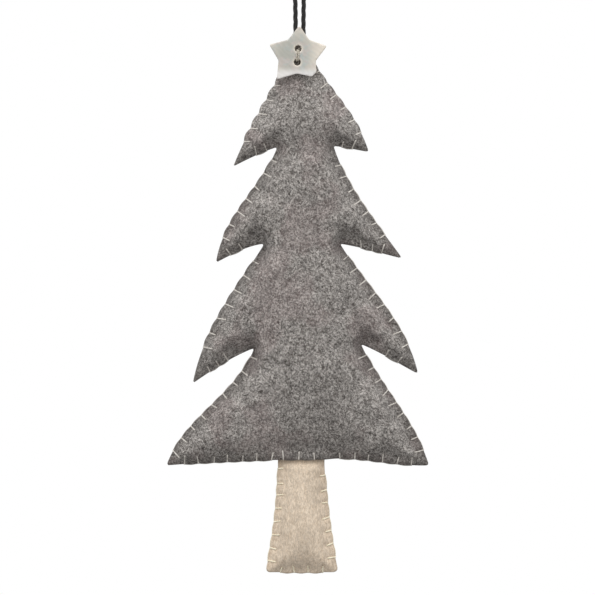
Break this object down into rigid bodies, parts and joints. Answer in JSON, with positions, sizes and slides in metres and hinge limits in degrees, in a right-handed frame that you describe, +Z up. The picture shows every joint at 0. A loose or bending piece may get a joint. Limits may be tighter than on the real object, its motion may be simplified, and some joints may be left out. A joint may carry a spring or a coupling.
{
  "type": "felt christmas ornament",
  "caption": "Stuffed felt tree with blanket-stitched edges, a felt trunk, a shell star button at the tip and a cord loop to hang it by.",
  "frame": {"origin": "where a hook bears on the underside of the cord loop's top bend", "axes": "+Z up along the hanging cord, the front with the star faces -Y, +X to the right seen from the front"},
  "size_m": [0.0738, 0.0162, 0.1982],
  "materials": {
    "black_cord": "matt twisted cotton",
    "grey_felt": "heathered wool felt",
    "beige_felt": "oatmeal wool felt",
    "grey_thread": "stranded cotton thread",
    "cream_thread": "stranded cotton thread",
    "fibre_filling": "loose fibre",
    "shell": "polished mother of pearl"
  },
  "bodies": {
    "loop": {"hanging_cord": "black_cord"},
    "tree": {"cord_knot": "black_cord", "tree_front_felt": "grey_felt", "tree_back_felt": "grey_felt", "tree_filling": "fibre_filling", "tree_thread_left": "grey_thread", "tree_thread_right": "grey_thread", "hem_thread_front": "grey_thread", "hem_thread_back": "grey_thread", "trunk_front_felt": "beige_felt", "trunk_back_felt": "beige_felt", "trunk_filling": "fibre_filling", "trunk_thread": "cream_thread", "button_thread": "grey_thread"},
    "star": {"star_button": "shell"}
  },
  "joints": [
    {"name": "cord_swing", "type": "hinge", "parent": "loop", "child": "tree", "pos_m": [0, 0, -0.046], "axis": [1, 0, 0], "range_deg": [-40, 90]},
    {"name": "star_turn", "type": "hinge", "parent": "tree", "child": "star", "pos_m": [-0.0005, -0.00398, -0.05166], "axis": [0, 1, 0], "range_deg": [-8, 8]}
  ]
}
